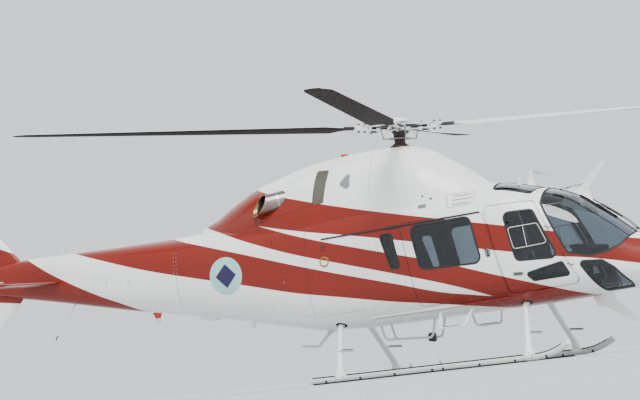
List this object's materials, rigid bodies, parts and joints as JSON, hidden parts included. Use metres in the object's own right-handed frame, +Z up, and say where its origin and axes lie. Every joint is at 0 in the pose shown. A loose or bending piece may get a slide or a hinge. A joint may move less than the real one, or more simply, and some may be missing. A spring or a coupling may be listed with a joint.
{
  "type": "light helicopter on skids",
  "caption": "Light single-engine utility helicopter on skids, with hinged crew doors, turning main and tail rotors, swept fins and a low boom.",
  "frame": {"origin": "middle of the whole machine's box, at the height of the skid shoes' undersides", "axes": "+X towards the nose, +Y to port, +Z up"},
  "size_m": [12.6883, 10.7222, 3.8863],
  "materials": {
    "white_paint": "gloss white enamel",
    "livery_paint": "gloss white enamel with rust red and navy stripes",
    "blade_finish": "satin paint over composite, white above and grey brown below",
    "glazing": "clear acrylic",
    "dark_trim": "black moulded plastic and rubber",
    "interior_trim": "grey moulded trim",
    "seat_cloth": "woven seat cloth",
    "machined_metal": "machined and painted aluminium",
    "gear_metal": "grey skid tube",
    "exhaust_metal": "heat tinted steel",
    "engine_metal": "cast housing"
  },
  "bodies": {
    "airframe": {"boarding_step_left": "white_paint", "boarding_step_right": "white_paint", "cabin_door_left": "livery_paint", "cabin_door_right": "livery_paint", "cabin_floor": "interior_trim", "cabin_shell": "livery_paint", "cabin_window_left": "glazing", "cabin_window_right": "glazing", "cargo_hook_frame": "gear_metal", "chin_window_left": "glazing", "chin_window_right": "glazing", "crew_seat_left": "seat_cloth", "crew_seat_right": "seat_cloth", "cross_tube_front": "white_paint", "cross_tube_rear": "white_paint", "engine_block": "engine_metal", "engine_cowl": "livery_paint", "exhaust_left": "exhaust_metal", "exhaust_right": "exhaust_metal", "eyebrow_left": "glazing", "eyebrow_right": "glazing", "forward_cowl": "white_paint", "gearbox_block": "engine_metal", "instrument_panel": "interior_trim", "lower_fin": "livery_paint", "mast_boot": "dark_trim", "rear_bench": "seat_cloth", "rear_fuselage": "livery_paint", "skid_left": "gear_metal", "skid_right": "gear_metal", "slot_window_left": "glazing", "slot_window_right": "glazing", "stabiliser_left": "white_paint", "stabiliser_right": "white_paint", "tail_boom": "livery_paint", "tail_gearbox": "machined_metal", "upper_fin": "livery_paint", "windshield_left": "glazing", "windshield_right": "glazing", "wire_cutter_lower": "dark_trim", "wire_cutter_upper": "dark_trim"},
    "main_rotor": {"main_rotor_hub": "machined_metal", "main_blade_1": "blade_finish", "main_blade_2": "blade_finish", "main_blade_3": "blade_finish", "main_blade_4": "blade_finish"},
    "tail_rotor": {"tail_rotor_hub": "machined_metal", "tail_blade_1": "blade_finish", "tail_blade_2": "blade_finish"},
    "crew_door_left": {"crew_door_left": "livery_paint", "crew_window_left": "glazing", "lower_window_left": "glazing"},
    "crew_door_right": {"crew_door_right": "livery_paint", "crew_window_right": "glazing", "lower_window_right": "glazing"},
    "baggage_door": {"baggage_door": "livery_paint"}
  },
  "joints": [
    {"name": "main_rotor_spin", "type": "hinge", "parent": "airframe", "child": "main_rotor", "pos_m": [0.9862, 0, 3.31], "axis": [0.075, 0, 0.9972], "continuous": true},
    {"name": "tail_rotor_spin", "type": "hinge", "parent": "airframe", "child": "tail_rotor", "pos_m": [-5.6388, 0.42, 2.45], "axis": [0, 1, 0], "continuous": true},
    {"name": "crew_door_left_swing", "type": "hinge", "parent": "airframe", "child": "crew_door_left", "pos_m": [3.4477, 0.75865, 0.9702], "axis": [0.4252, -0.0316, -0.9045], "range_deg": [0, 70]},
    {"name": "crew_door_right_swing", "type": "hinge", "parent": "airframe", "child": "crew_door_right", "pos_m": [3.4477, -0.75865, 0.9702], "axis": [-0.4252, -0.0316, 0.9045], "range_deg": [0, 70]},
    {"name": "baggage_door_swing", "type": "hinge", "parent": "airframe", "child": "baggage_door", "pos_m": [-0.3983, 0.78468, 1.28], "axis": [0, 0, -1], "range_deg": [0, 100]}
  ]
}
